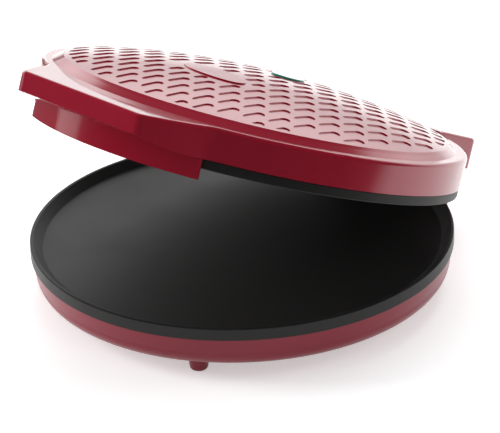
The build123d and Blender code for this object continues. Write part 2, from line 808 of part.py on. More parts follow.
# Lid shell: wall, ledge, dome, handle and hinge hood in one moulding
with BuildPart() as lid_shell:
    with BuildSketch():
        add(round_and_handle(0))
    extrude(amount=lid_ledge)
    add(tilt_dome(revolve(dome_profile(0), Axis.Z, mode=Mode.PRIVATE)))
    add(hood_block(0))
    fillet(lid_shell.edges().filter_by(on_outer_ledge), lid_edge_round)
    with BuildPart(mode=Mode.PRIVATE) as badge:
        with BuildSketch(Plane.XY.offset(lid_ceiling)):
            with Locations((0, badge_y)):
                Ellipse(badge_half_length, badge_half_width)
        extrude(amount=2 * lid_ledge)
        add(ball(dome_sphere + badge_height), mode=Mode.INTERSECT)
        fillet(badge.faces().sort_by(Axis.Z)[-1].edges(), badge_round)
    add(badge.part)
    with BuildPart(mode=Mode.PRIVATE) as cavity:
        with BuildSketch(Plane.XY.offset(-lid_ledge)):
            Circle(lid_radius - shell_wall)
        extrude(amount=lid_ledge + lid_ceiling)
        add(tilt_dome(revolve(dome_profile(shell_wall), Axis.Z, mode=Mode.PRIVATE)))
    add(cavity.part, mode=Mode.SUBTRACT)
    with BuildPart(mode=Mode.PRIVATE) as outer_cavities:
        with BuildSketch(Plane.XY.offset(-lid_ledge)):
            add(round_and_handle(shell_wall))
        extrude(amount=lid_ledge + lid_ceiling)
        add(hood_block(shell_wall))
        with BuildSketch(Plane.XY.offset(-far)):
            Circle(lid_radius)
        extrude(amount=2 * far, mode=Mode.SUBTRACT)
    add(outer_cavities.part, mode=Mode.SUBTRACT)
    add(rods(tabs_at, lid_boss_radius, tab_top, lid_ledge - shell_wall / 2))
    add(rods(guard_screws_at, guard_boss_radius, guard_seat, lid_ledge - shell_wall / 2))
    for lug_x in (lug_inner_x, lug_outer_x):
        with BuildSketch(Plane.YZ.offset(lug_x)):
            with Locations((hinge_y, hinge_local_z)):
                Circle(lug_radius)
            with Locations((hinge_y, (hinge_local_z + lid_ceiling) / 2)):
                Rectangle(2 * lug_radius, lid_ceiling - hinge_local_z)
        lug = extrude(amount=lug_width)
        mirror(lug, about=Plane.YZ)
    with BuildSketch(Plane.YZ):
        with Locations((hinge_y, hinge_local_z)):
            Circle(pin_radius + running_clearance)
    extrude(amount=pin_end, both=True, mode=Mode.SUBTRACT)
    add(rods(tabs_at, screw_radius, 0, lid_bore_top), mode=Mode.SUBTRACT)
    add(rods(guard_screws_at, screw_radius, 0, guard_seat + guard_screw_length), mode=Mode.SUBTRACT)
    window_z = (tab_bottom - window_clearance, tab_top + window_clearance)
    windows = boxes(tabs_at, tab_half_width + window_clearance, window_spans, window_z)
    add(windows, mode=Mode.SUBTRACT)
    with BuildSketch(Plane.XZ.offset(-hood_rear - shell_wall)):
        for side in (-1, 1):
            with Locations((side * (ear_inner_x + ear_width / 2), notch_top / 2 - lid_ledge / 2)):
                Rectangle(ear_width + 2 * notch_clearance, notch_top + lid_ledge)
    extrude(amount=3 * shell_wall, mode=Mode.SUBTRACT)
    with BuildSketch(Plane.XY):
        with Locations((0, lens_y)):
            Circle(lens_neck_radius + fit_clearance)
    extrude(amount=far, mode=Mode.SUBTRACT)
    add(under_bow(0), mode=Mode.SUBTRACT)
    add(dome_slots(), mode=Mode.SUBTRACT)
save_lid_piece(lid_shell.part, "lid_shell")

# Handle guard: the handle's underside, with a skirt that hangs in front of the rims
with BuildPart() as handle_guard:
    with BuildSketch(Plane.XY.offset(-side_clearance)):
        add(round_and_handle(shell_wall + guard_fit))
        Circle(guard_inner_radius, mode=Mode.SUBTRACT)
    extrude(amount=lid_ledge)
    with BuildPart(mode=Mode.PRIVATE) as clear_below:
        add(under_bow(0))
        with BuildSketch(Plane.XY.offset(-far)):
            Circle(guard_outer_radius)
        extrude(amount=2 * far, mode=Mode.SUBTRACT)
    add(clear_below.part, mode=Mode.SUBTRACT)
    add(under_bow(guard_panel), mode=Mode.INTERSECT)
    with BuildSketch(Plane.XY.offset(-guard_drop)):
        with BuildLine():
            reach = Vector(0, -far, 0)
            Polyline(
                (0, 0),
                reach.rotate(Axis.Z, -guard_bearing),
                reach.rotate(Axis.Z, guard_bearing),
                close=True,
            )
        make_face()
        Circle(guard_outer_radius, mode=Mode.INTERSECT)
        Circle(guard_inner_radius, mode=Mode.SUBTRACT)
    extrude(amount=guard_drop - side_clearance / 2)
    with BuildPart(mode=Mode.PRIVATE) as screw_seats:
        add(rods(guard_screws_at, guard_recess_radius + guard_boss_wall, 0, guard_seat))
        add(under_bow(0), mode=Mode.SUBTRACT)
    add(screw_seats.part)
    add(rods(guard_screws_at, guard_recess_radius, -guard_drop, guard_head), mode=Mode.SUBTRACT)
    add(rods(guard_screws_at, screw_radius + fit_clearance, 0, lid_ledge), mode=Mode.SUBTRACT)
save_lid_piece(handle_guard.part, "handle_guard")

# Upper plate: a dish that opens downwards, with bosses above it and four tabs to the lid shell
upper_rim = -upper_rim_depth
upper_boss_top = upper_plate_top + reflector_gap
with BuildPart() as upper_plate:
    with BuildSketch(Plane.XZ):
        with BuildLine():
            Polyline(
                *dish_profile(
                    -1, upper_dish_floor, upper_rim, upper_rim_radius, upper_dish_radius, -upper_gap
                ),
                close=True,
            )
        make_face()
    revolve(axis=Axis.Z)
    rim_edges = upper_plate.edges().filter_by(GeomType.CIRCLE).filter_by(
        lambda edge: abs(edge.center().Z - upper_rim) < fit_clearance
    )
    fillet(rim_edges, lip_round)
    with BuildSketch(Plane.XY.offset(upper_dish_floor)):
        Circle(spigot_radius)
        Circle(spigot_radius - plate_thickness, mode=Mode.SUBTRACT)
    extrude(amount=spigot_height - upper_dish_floor)
    add(rods(bosses_at, boss_radius, upper_plate_top, upper_boss_top))
    add(rods(pips_at(), pip_radius, upper_plate_top, upper_plate_top + pip_height))
    webs = []
    spans = []
    for x, y in tabs_at:
        side = 1 if y > 0 else -1
        web = ((spigot_radius - plate_thickness) ** 2 - (abs(x) + tab_half_width) ** 2) ** 0.5
        webs.append(sorted((side * web, side * (web - plate_thickness))))
        spans.append(sorted((side * (web - plate_thickness), y + side * tab_end_margin)))
    add(boxes(tabs_at, tab_half_width, webs, (upper_plate_top, tab_top)))
    add(boxes(tabs_at, tab_half_width, spans, (tab_bottom, tab_top)))
    add(rods(tabs_at, screw_radius + fit_clearance, tab_bottom, tab_top), mode=Mode.SUBTRACT)
    add(
        rods(bosses_at, screw_radius, upper_plate_top + strap_sheet, upper_boss_top),
        mode=Mode.SUBTRACT,
    )
save_lid_piece(upper_plate.part, "upper_plate")

upper_heater_z = upper_plate_top + heater_tube_radius + running_clearance
save_lid_piece(heater(upper_heater_z), "upper_heater")
save_lid_piece(straps(upper_plate_top, upper_heater_z), "upper_heater_straps")
save_lid_piece(reflector(upper_boss_top, -1), "upper_reflector")
save_lid_piece(thermostat(upper_plate_top, 1), "upper_thermostat")
reflector_seat = upper_boss_top + reflector_sheet
reflector_screw_length = reflector_gap - 2 * strap_sheet
save_lid_piece(screws(bosses_at, reflector_seat, reflector_screw_length, -1), "reflector_screws")
save_lid_piece(screws(tabs_at, tab_bottom, tab_screw_length), "lid_screws")
guard_shank = guard_seat + guard_screw_length - guard_screw_end_gap - guard_head
save_lid_piece(screws(guard_screws_at, guard_head, guard_shank), "guard_screws")

# Indicator: a green lens proud of the dome, its holder under the dome and the lamp inside
with BuildPart() as indicator_lens:
    with BuildSketch(Plane.XY.offset(lens_neck_bottom)):
        with Locations((0, lens_y)):
            Circle(lens_radius)
    extrude(amount=lid_ledge)
    add(ball(dome_sphere + lens_height), mode=Mode.INTERSECT)
    fillet(indicator_lens.faces().sort_by(Axis.Z)[-1].edges(), lens_round)
    with BuildPart(mode=Mode.PRIVATE) as below_head:
        with BuildSketch(Plane.XY):
            with Locations((0, lens_y)):
                Circle(2 * lens_radius)
                Circle(lens_neck_radius, mode=Mode.SUBTRACT)
        extrude(amount=far)
        add(ball(dome_sphere), mode=Mode.INTERSECT)
    add(below_head.part, mode=Mode.SUBTRACT)
save_lid_piece(indicator_lens.part, "indicator_lens")

with BuildPart() as lamp_holder:
    with BuildSketch(Plane.XY.offset(lamp_floor - shell_wall)):
        with Locations((0, lens_y)):
            Circle(lens_neck_radius + holder_wall)
    extrude(amount=lid_ledge)
    add(ball(dome_sphere - shell_wall), mode=Mode.INTERSECT)
    with BuildSketch(Plane.XY.offset(lamp_floor)):
        with Locations((0, lens_y)):
            Circle(lens_neck_radius + fit_clearance)
    extrude(amount=far, mode=Mode.SUBTRACT)
save_lid_piece(lamp_holder.part, "lamp_holder")

with BuildPart() as indicator_lamp:
    with BuildSketch(Plane.XY.offset(lamp_floor)):
        with Locations((0, lens_y)):
            Circle(lamp_radius)
    extrude(amount=lamp_length)
    fillet(indicator_lamp.faces().sort_by(Axis.Z)[-1].edges(), lamp_round)
save_lid_piece(indicator_lamp.part, "indicator_lamp")
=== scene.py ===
"""Looks of an electric pizza maker, built around its fixed frame.

Every mesh is in metres in the frame's own axes: +Z up, -Y the front with the handle, +Y the hinge. The lid
stands open. Its pieces are drawn in the closed lid's own frame, in which z = 0 is the lower edge of its
wall, and are then swung open about the hinge.
"""

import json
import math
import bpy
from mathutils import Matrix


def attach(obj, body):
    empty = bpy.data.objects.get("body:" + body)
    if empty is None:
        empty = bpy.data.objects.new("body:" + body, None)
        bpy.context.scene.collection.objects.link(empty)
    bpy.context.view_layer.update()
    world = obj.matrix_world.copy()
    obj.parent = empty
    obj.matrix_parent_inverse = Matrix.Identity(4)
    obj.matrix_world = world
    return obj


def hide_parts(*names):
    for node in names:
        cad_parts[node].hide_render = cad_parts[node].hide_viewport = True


bl_info = {
    "name": "Pizza maker dresser",
    "version": (1, 0, 0),
    "blender": (4, 5, 0),
    "location": "View3D > Sidebar > Pizza maker",
    "description": "Builds the patterned lid, the finishes and the studio of an electric pizza maker",
    "category": "Object",
}

import bmesh
import bpy
import numpy as np
from bpy.props import FloatProperty, FloatVectorProperty, IntProperty, PointerProperty
from bpy.types import Operator, Panel, PropertyGroup
from mathutils import Matrix, Vector
from mathutils.geometry import delaunay_2d_cdt

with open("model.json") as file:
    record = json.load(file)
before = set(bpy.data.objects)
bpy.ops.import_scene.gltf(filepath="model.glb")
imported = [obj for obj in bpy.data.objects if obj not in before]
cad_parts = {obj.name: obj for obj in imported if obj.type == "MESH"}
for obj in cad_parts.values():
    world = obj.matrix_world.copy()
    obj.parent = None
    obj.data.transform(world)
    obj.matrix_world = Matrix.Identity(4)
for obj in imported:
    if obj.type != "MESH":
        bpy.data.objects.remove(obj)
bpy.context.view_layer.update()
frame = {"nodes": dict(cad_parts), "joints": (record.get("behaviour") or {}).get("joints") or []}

MM = 0.001
FRAME_WIDTH_PX = 500
SENSOR_WIDTH = 36.0
CLIP_DISTANCES = 10
WHITE = (1.0, 1.0, 1.0, 1.0)

# The closed lid in its own frame, in metres
LID_BASE = 52.9 * MM
DOME_RADIUS = 148.1 * MM
DOME_EDGE = 28.8 * MM
DOME_CROWN = 46.9 * MM
DOME_TILT = math.radians(0.3)
DOME_RISE = DOME_CROWN - DOME_EDGE
DOME_SPHERE = (DOME_RADIUS**2 + DOME_RISE**2) / (2 * DOME_RISE)
BADGE_Y = -53.0 * MM
BADGE_HALF_LENGTH = 29.0 * MM
BADGE_HALF_WIDTH = 13.5 * MM
LENS_Y = 30.0 * MM
LENS_RADIUS = 13.0 * MM

# A point this close to a surface of the frame counts as on it, and points this close together as one
ON_SURFACE = 0.02 * MM
SAME_POINT = 0.001 * MM
CDT_EPSILON = 1e-9

# The solid's square slots are looked for down to this much below the depth of the finished ones
SLOT_SPARE = 0.05 * MM

# Least length and breadth of what is left of a slot, in widths of a whole one
SHORTEST_SLOT = 1.2
NARROWEST_SLOT = 0.4

# Slopes of a slot's rounded edge and of its wall, from level
EDGE_SLOPE = math.radians(45)
WALL_SLOPE = math.radians(78)
POINTS_PER_SEGMENT = 3
CIRCLE_SIDES = 180

# Screws: their nodes and bodies, the least room between two, the share of a screw's width beyond which a
# point belongs to its head, the sides of its round parts and how far the shank reaches into the head
SCREW_NODES = {"base_screws": "base", "lid_screws": "lid", "reflector_screws": "lid", "guard_screws": "lid"}
SCREW_GAP = 8.0 * MM
HEAD_SHARE = 0.4
HEAD_SIDES = 32
CROWN_SIDES = 48
CROWN_RINGS = 32
SHANK_SIDES = 24
SHANK_ROOT = 0.2
CREASE = math.radians(30)

# Depth of the relief of the red lacquer, and the speckle's share in the coating's shade
LACQUER_RELIEF = 0.004 * MM
SPECKLE_SHADE = 0.7

# Bearings of the studio's sides from the front, in degrees, turning to the right
FAR_SIDE = -138.0
DARK_SIDE = 55.0
LEFT_SIDE = -46.0
STRIP_SIDE = -61.0

# The studio in the gloss: reach toward a side, or height, at which each change starts and ends
FAR_SIDE_EDGE = (0.15, 0.75)
GLOW_RISE = (0.02, 0.34)
GLOW_END = (0.46, 0.60)
ABOVE_GLOW = 0.04
STRIP_EDGE = (0.980, 0.996)
STRIP_BRIGHTNESS = 1.1
DARK_ROOM = 0.012
DARK_FLOOR = 0.012

FLOOR_CELLS = 8
FLOOR_ROUGHNESS = 0.55
FLOOR_SHINE = 0.2

# Lamps: name, place, width and height in metres, and power in watts. All face the same point
LAMP_TARGET = (0.0, 0.0, 0.08)
SOFTBOXES = (
    ("overhead_softbox", (-0.35, 0.75, 1.9), (1.5, 1.5), 20.0),
    ("left_softbox", (-1.5, -1.1, 0.8), (0.8, 1.1), 24.0),
    ("right_softbox", (1.5, 1.3, 1.0), (0.9, 1.1), 7.0),
)


def colour(name, default):
    """A colour that a user may change, in linear values."""
    return FloatVectorProperty(
        name=name, description=name, default=default, subtype="COLOR", size=3, min=0.0, max=1.0
    )


def length(name, description, default):
    """A length that a user may change, in metres."""
    return FloatProperty(
        name=name, description=description, default=default, min=0.0, unit="LENGTH", precision=5
    )


class DomePattern(PropertyGroup):
    """The recessed slots of the lid's dome, set like bricks."""

    slot_length: length("Slot length", "Length of one slot, from front to back", 20.6 * MM)
    slot_width: length("Slot width", "Width of one slot", 7.0 * MM)
    slot_depth: length("Slot depth", "How far a slot's floor lies below the dome", 0.9 * MM)
    column_pitch: length("Column pitch", "Distance from one column of slots to the next", 12.8 * MM)
    slot_pitch: length("Slot pitch", "Distance from one slot to the next in a column", 27.1 * MM)
    first_column: length("First column", "Distance of the first column from the middle", 6.4 * MM)
    first_slot: length("First slot", "Distance of a first column's slot behind the middle", 10.3 * MM)
    pattern_radius: length("Pattern radius", "The pattern ends at a circle of this radius", 144.0 * MM)
    keep_clear: length("Keep clear", "Plain rim left round the badge and the lens", 2.5 * MM)
    edge_round: length("Edge round", "Rounding of a slot's upper edge", 0.45 * MM)
    end_segments: IntProperty(
        name="End segments", description="Sides of a slot's rounded end", default=8, min=3
    )


class Screws(PropertyGroup):
    """Sizes of the pan-head screws."""

    head_radius: length("Head radius", "Radius of a screw's head", 3.8 * MM)
    head_height: length("Head height", "Height of a screw's head", 2.6 * MM)
    crown_radius: length("Crown radius", "Radius of the head's domed top", 5.2 * MM)
    shank_radius: length("Shank radius", "Radius of a screw's shank", 2.0 * MM)
    recess_length: length("Recess length", "Length of each arm of the cross recess", 4.0 * MM)
    recess_width: length("Recess width", "Width of each arm of the cross recess", 0.8 * MM)
    recess_depth: length("Recess depth", "Depth of the cross recess", 1.3 * MM)


class Finishes(PropertyGroup):
    """Colours of the pieces."""

    lid_red: colour("Lid red", (0.34, 0.003, 0.022))
    base_red: colour("Base red", (0.26, 0.010, 0.028))
    coating: colour("Non-stick coating", (0.016, 0.015, 0.0145))
    lens_green: colour("Lens green", (0.03, 0.30, 0.22))
    element: colour("Heater sheath", (0.16, 0.15, 0.14))
    sheet_metal: colour("Sheet metal", (0.60, 0.60, 0.61))
    zinc: colour("Zinc plating", (0.62, 0.62, 0.64))
    phenolic: colour("Dark resin", (0.035, 0.030, 0.026))
    nylon: colour("Pale nylon", (0.72, 0.69, 0.62))
    rubber: colour("Black rubber", (0.018, 0.018, 0.018))
    sleeve: colour("Fuse sleeve", (0.66, 0.62, 0.52))
    glass: colour("Lamp glass", (0.80, 0.92, 0.84))


class Studio(PropertyGroup):
    """Camera, floor and lamps."""

    azimuth: FloatProperty(
        name="Azimuth", description="Bearing of the camera from the front", default=math.radians(44.49),
        subtype="ANGLE",
    )
    elevation: FloatProperty(
        name="Elevation", description="Height of the camera as an angle", default=math.radians(26.35),
        subtype="ANGLE",
    )
    roll: FloatProperty(
        name="Roll", description="Turn of the camera about its line of sight",
        default=math.radians(-2.165), subtype="ANGLE",
    )
    distance: length("Distance", "From the camera to the point that it looks at", 2.8143)
    aim: FloatVectorProperty(
        name="Aim", description="Point that the camera looks at", default=(0.0003, 0.0091, 0.0523),
        subtype="TRANSLATION", unit="LENGTH",
    )
    focal_px: FloatProperty(
        name="Focal length", description="Focal length in pixels of the frame's width", default=3726.0
    )
    floor_size: length("Floor size", "Side of the floor", 9.0)
    floor_grey: FloatProperty(
        name="Floor", description="How pale the floor is", default=0.94, min=0.0, max=1.0
    )
    floor_lift: FloatProperty(
        name="Floor lift", description="Brightness added to the floor, so that it meets the white",
        default=0.46, min=0.0,
    )
    table_edge: FloatVectorProperty(
        name="Table edge", description="Where the floor's mirror image starts and ends to darken",
        default=(0.28, 0.48), size=2, unit="LENGTH",
    )
    fill: FloatProperty(
        name="Fill", description="Even light from all round", default=0.38, min=0.0
    )
    back_glow: FloatProperty(
        name="Back glow", description="Brightness of the far side as the gloss shows it", default=1.9,
        min=0.0,
    )


GROUPS = {
    "pizza_pattern": DomePattern,
    "pizza_screws": Screws,
    "pizza_finishes": Finishes,
    "pizza_studio": Studio,
}


def lid_frame():
    """Where the closed lid's own frame stands once the lid is swung open."""
    joint = frame["joints"][0]
    hinge = Vector(joint["pos_m"])
    open_angle = math.radians(-joint["range_deg"][0])
    swing = Matrix.Translation(hinge) @ Matrix.Rotation(-open_angle, 4, "X")
    return swing @ Matrix.Translation(Vector((0, 0, LID_BASE)) - hinge)


def dome_frame():
    """The lid's frame, tipped with the dome about the dome's edge."""
    edge = Matrix.Translation((0, 0, DOME_EDGE))
    return lid_frame() @ edge @ Matrix.Rotation(-DOME_TILT, 4, "X") @ edge.inverted()


def add_object(name, mesh, body, slot, material, *nodes):
    """Puts a finished mesh in the scene, on its body, in place of the nodes it stands for. The slot is not
    used.
    """
    piece = bpy.data.objects.new(name, mesh)
    bpy.context.scene.collection.objects.link(piece)
    mesh.materials.clear()
    mesh.materials.append(material)
    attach(piece, body)
    if nodes:
        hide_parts(*nodes)
    return piece


def dress(names, material):
    """Gives carried-over nodes their finish."""
    for name in names:
        node = frame["nodes"][name]
        for place in node.material_slots:
            place.material = material


# Shader node groups


class Shader:
    """A short way to add and join nodes in one tree."""

    def __init__(self, tree):
        self.tree = tree

    def add(self, kind, values=None, **settings_of_node):
        """Adds a node, with its settings and its unlinked inputs' values."""
        node = self.tree.nodes.new(kind)
        for key, value in settings_of_node.items():
            setattr(node, key, value)
        for key, value in (values or {}).items():
            if isinstance(value, bpy.types.NodeSocket):
                self.tree.links.new(value, node.inputs[key])
            else:
                node.inputs[key].default_value = value
        return node


def group_tree(name, inputs):
    """A new node group with named inputs, and its input and output nodes."""
    tree = bpy.data.node_groups.new(name, "ShaderNodeTree")
    for label, default in inputs.items():
        socket = tree.interface.new_socket(label, in_out="INPUT", socket_type="NodeSocketFloat")
        socket.default_value = default
    for label in ("Height", "Roughness", "Shade"):
        tree.interface.new_socket(label, in_out="OUTPUT", socket_type="NodeSocketFloat")
    shader = Shader(tree)
    return shader, shader.add("NodeGroupInput").outputs, shader.add("NodeGroupOutput")


def give_out(shader, made, height, rough, shade):
    """Joins a group's relief, roughness and shade to its outputs."""
    shader.tree.links.new(height, made.inputs["Height"])
    shader.tree.links.new(rough, made.inputs["Roughness"])
    shader.tree.links.new(shade, made.inputs["Shade"])
    return shader.tree


def noise(shader, scale, detail=2.0, roughness=0.5, vector=None):
    """A noise texture on Object coordinates, or on the vector given."""
    if vector is None:
        vector = shader.add("ShaderNodeTexCoord").outputs["Object"]
    values = {"Vector": vector, "Scale": scale, "Detail": detail, "Roughness": roughness}
    return shader.add("ShaderNodeTexNoise", values, noise_dimensions="3D").outputs["Fac"]


def maths(shader, operation, first, second):
    """One sum of two values."""
    return shader.add("ShaderNodeMath", {0: first, 1: second}, operation=operation).outputs[0]


def spread(shader, value, low, high):
    """Maps 0 to 1 onto low to high."""
    return shader.add("ShaderNodeMapRange", {"Value": value, "To Min": low, "To Max": high}).outputs[0]


def moulded_skin():
    """Group: the slight waviness and fine grain of lacquered plastic, and the haze of handling."""
    inputs = {
        "Wave Scale": 90.0, "Grain Scale": 1500.0, "Grain Share": 0.25, "Haze Scale": 14.0,
        "Low Gloss": 0.08, "High Gloss": 0.16,
    }
    shader, given, made = group_tree("moulded_skin", inputs)
    wave = noise(shader, given["Wave Scale"], detail=1.0)
    grain = noise(shader, given["Grain Scale"], detail=2.0)
    height = maths(shader, "ADD", wave, maths(shader, "MULTIPLY", grain, given["Grain Share"]))
    haze = noise(shader, given["Haze Scale"], detail=5.0, roughness=0.6)
    rough = spread(shader, haze, given["Low Gloss"], given["High Gloss"])
    return give_out(shader, made, height, rough, haze)


def coated_cast():
    """Group: the orange-peel of a sprayed non-stick coating over a casting, with its fine speckle."""
    inputs = {
        "Peel Scale": 700.0, "Speckle Scale": 2600.0, "Speckle Share": 0.4, "Cloud Scale": 22.0,
        "Low Rough": 0.34, "High Rough": 0.50,
    }
    shader, given, made = group_tree("coated_cast", inputs)
    peel = noise(shader, given["Peel Scale"], detail=2.0)
    speckle = noise(shader, given["Speckle Scale"], detail=1.0)
    cloud = noise(shader, given["Cloud Scale"], detail=4.0)
    height = maths(shader, "ADD", peel, maths(shader, "MULTIPLY", speckle, given["Speckle Share"]))
    rough = spread(shader, cloud, given["Low Rough"], given["High Rough"])
    fine = maths(shader, "MULTIPLY", speckle, SPECKLE_SHADE)
    coarse = maths(shader, "MULTIPLY", cloud, 1 - SPECKLE_SHADE)
    return give_out(shader, made, height, rough, maths(shader, "ADD", fine, coarse))


def worked_metal():
    """Group: fine marks drawn out along X, and a cloudy stain, of rolled or plated steel."""
    inputs = {
        "Mark Scale": 900.0, "Mark Length": 0.05, "Stain Scale": 45.0, "Low Rough": 0.22, "High Rough": 0.42,
    }
    shader, given, made = group_tree("worked_metal", inputs)
    place = shader.add("ShaderNodeTexCoord").outputs["Object"]
    stretch = shader.add("ShaderNodeCombineXYZ", {"X": given["Mark Length"], "Y": 1.0, "Z": 1.0})
    drawn = shader.add(
        "ShaderNodeVectorMath", {0: place, 1: stretch.outputs[0]}, operation="MULTIPLY"
    ).outputs[0]
    marks = noise(shader, given["Mark Scale"], detail=2.0, vector=drawn)
    stain = noise(shader, given["Stain Scale"], detail=4.0)
    mixed = maths(shader, "MULTIPLY", maths(shader, "ADD", marks, stain), 0.5)
    rough = spread(shader, mixed, given["Low Rough"], given["High Rough"])
    return give_out(shader, made, marks, rough, stain)


SKINS = {"moulded_skin": moulded_skin, "coated_cast": coated_cast, "worked_metal": worked_metal}


def finish(name, skin, colours, bump, inputs=None, **sockets):
    """A material from one skin group: two colours mixed by its shade, its roughness and its relief.

    The bump is the depth of the relief in metres, the inputs go to the group, and the rest to the shader.
    """
    material = bpy.data.materials.new(name)
    material.use_nodes = True
    shader = Shader(material.node_tree)
    principled = material.node_tree.nodes["Principled BSDF"]
    tree = bpy.data.node_groups.get(skin) or SKINS[skin]()
    group = shader.add("ShaderNodeGroup", node_tree=tree)
    for label, value in (inputs or {}).items():
        group.inputs[label].default_value = value
    dark, light = colours
    mix = shader.add("ShaderNodeMix", data_type="RGBA")
    mix.inputs["A"].default_value = (*dark, 1.0)
    mix.inputs["B"].default_value = (*light, 1.0)
    link = material.node_tree.links.new
    link(group.outputs["Shade"], mix.inputs["Factor"])
    link(mix.outputs["Result"], principled.inputs["Base Color"])
    link(group.outputs["Roughness"], principled.inputs["Roughness"])
    relief = shader.add("ShaderNodeBump", {"Strength": 1.0, "Distance": bump})
    link(group.outputs["Height"], relief.inputs["Height"])
    link(relief.outputs["Normal"], principled.inputs["Normal"])
    for label, value in sockets.items():
        principled.inputs[label.replace("_", " ")].default_value = value
    return material


def shades(rgb, darker=0.9, lighter=1.1):
    """A darker and a lighter shade of one colour."""
    return tuple(c * darker for c in rgb), tuple(min(1.0, c * lighter) for c in rgb)


def gloss_red(name, rgb, low, high, **sockets):
    """Red lacquer: a clear coat over a deep red with a little fine flake in it."""
    return finish(
        name, "moulded_skin", shades(rgb), LACQUER_RELIEF, {"Low Gloss": low, "High Gloss": high},
        Metallic=0.1, Coat_IOR=1.55, **sockets,
    )


# Lid shell with the patterned dome


def corner_data(node):
    """A node's triangles as arrays: each corner's place and normal."""
    mesh = frame["nodes"][node].data
    places = np.empty(3 * len(mesh.vertices), np.float32)
    mesh.vertices.foreach_get("co", places)
    corners = np.empty(len(mesh.loops), np.int32)
    mesh.loops.foreach_get("vertex_index", corners)
    normals = np.empty(3 * len(mesh.loops), np.float32)
    mesh.corner_normals.foreach_get("vector", normals)
    return places.reshape(-1, 3)[corners].reshape(-1, 3, 3), normals.reshape(-1, 3, 3)


def through(matrix, points):
    """Points, as rows, moved by a matrix."""
    array = np.array(matrix)
    return points @ array[:3, :3].T + array[:3, 3]


def dome_height(x, y):
    """Height of the dome in its own frame."""
    return DOME_CROWN - DOME_SPHERE + np.sqrt(DOME_SPHERE**2 - x**2 - y**2)


def dome_normal(x, y):
    """Outward direction of the dome in its own frame."""
    return np.array((x, y, math.sqrt(DOME_SPHERE**2 - x**2 - y**2))) / DOME_SPHERE


def stadium(centre, span, width, segments):
    """Points round a slot with rounded ends, anticlockwise. The span is its lowest and highest y."""
    radius = width / 2
    middles = (span[0] + radius, span[1] - radius)
    points = []
    for start, middle in zip((math.pi, 0.0), middles):
        for step in range(segments + 1):
            angle = start + math.pi * step / segments
            points.append((centre + radius * math.cos(angle), middle + radius * math.sin(angle)))
    return points


def cut_by_circle(points, radius):
    """The part of a convex outline that lies inside a circle about the middle."""
    for step in range(CIRCLE_SIDES):
        angle = 2 * math.pi * step / CIRCLE_SIDES
        direction = (math.cos(angle), math.sin(angle))
        kept = []
        for here, after in zip(points, points[1:] + points[:1]):
            depth = [radius - p[0] * direction[0] - p[1] * direction[1] for p in (here, after)]
            if depth[0] >= 0:
                kept.append(here)
            if depth[0] * depth[1] < 0:
                share = depth[0] / (depth[0] - depth[1])
                kept.append(tuple(a + share * (b - a) for a, b in zip(here, after)))
        points = kept
        if len(points) < 3:
            return []
    return points


def evenly(points, count):
    """The same outline with evenly spaced points."""
    loop = np.array(points + points[:1])
    steps = np.linalg.norm(np.diff(loop, axis=0), axis=1)
    travelled = np.concatenate(([0.0], np.cumsum(steps)))
    wanted = np.linspace(0, travelled[-1], count, endpoint=False)
    return np.column_stack([np.interp(wanted, travelled, loop[:, axis]) for axis in (0, 1)])


def outward(loop):
    """Outward directions at the points of an anticlockwise outline."""
    ahead = np.roll(loop, -1, axis=0) - np.roll(loop, 1, axis=0)
    ahead /= np.linalg.norm(ahead, axis=1)[:, None]
    return np.column_stack((ahead[:, 1], -ahead[:, 0]))


def spans_beside(span, centre, half_width, hole, clear):
    """What is left of a slot's span once an oval hole and its plain rim are taken out of it."""
    hole_y, half_length, half_depth = hole
    reach = max(abs(centre) - half_width, 0.0) / (half_length + clear)
    if reach >= 1:
        return [span]
    gap = (half_depth + clear) * math.sqrt(1 - reach**2)
    parts = ((span[0], min(span[1], hole_y - gap)), (max(span[0], hole_y + gap), span[1]))
    return [part for part in parts if part[1] > part[0]]


def slot_outlines(pattern):
    """Outlines of all the slots, in the dome's plan."""
    badge = (BADGE_Y, BADGE_HALF_LENGTH, BADGE_HALF_WIDTH)
    lens = (LENS_Y, LENS_RADIUS, LENS_RADIUS)
    columns = int(pattern.pattern_radius / pattern.column_pitch) + 1
    rows = int(pattern.pattern_radius / pattern.slot_pitch) + 2
    half_width = pattern.slot_width / 2
    outlines = []
    for column in range(-columns - 1, columns + 1):
        x = pattern.first_column + column * pattern.column_pitch
        shift = pattern.first_slot - (column % 2) * pattern.slot_pitch / 2
        for row in range(-rows, rows + 1):
            y = shift + row * pattern.slot_pitch
            spans = [(y - pattern.slot_length / 2, y + pattern.slot_length / 2)]
            for hole in (badge, lens):
                spans = [
                    part
                    for span in spans
                    for part in spans_beside(span, x, half_width, hole, pattern.keep_clear)
                ]
            for span in spans:
                if span[1] - span[0] < SHORTEST_SLOT * pattern.slot_width:
                    continue
                points = stadium(x, span, pattern.slot_width, pattern.end_segments)
                points = cut_by_circle(points, pattern.pattern_radius)
                if points and wide_enough(points, pattern):
                    outlines.append(evenly(points, POINTS_PER_SEGMENT * pattern.end_segments))
    return outlines


def wide_enough(points, pattern):
    """Whether what is left of a slot is wide enough to be moulded."""
    loop = np.array(points)
    after = np.roll(loop, -1, axis=0)
    area = 0.5 * np.sum(loop[:, 0] * after[:, 1] - after[:, 0] * loop[:, 1])
    around = np.sum(np.linalg.norm(after - loop, axis=1))
    return area > NARROWEST_SLOT * pattern.slot_width * around / 2


def slot_profile(pattern):
    """Rings of a slot's wall from the dome to its floor: inset, depth and slope from level."""
    edge, depth = pattern.edge_round, pattern.slot_depth
    return (
        (-0.5 * edge, 0.0, 0.0),
        (-0.15 * edge, 0.15 * edge, EDGE_SLOPE),
        (0.0, 0.5 * edge, WALL_SLOPE),
        (0.5 * edge, depth - 0.3 * edge, WALL_SLOPE),
        (edge, depth, 0.0),
    )


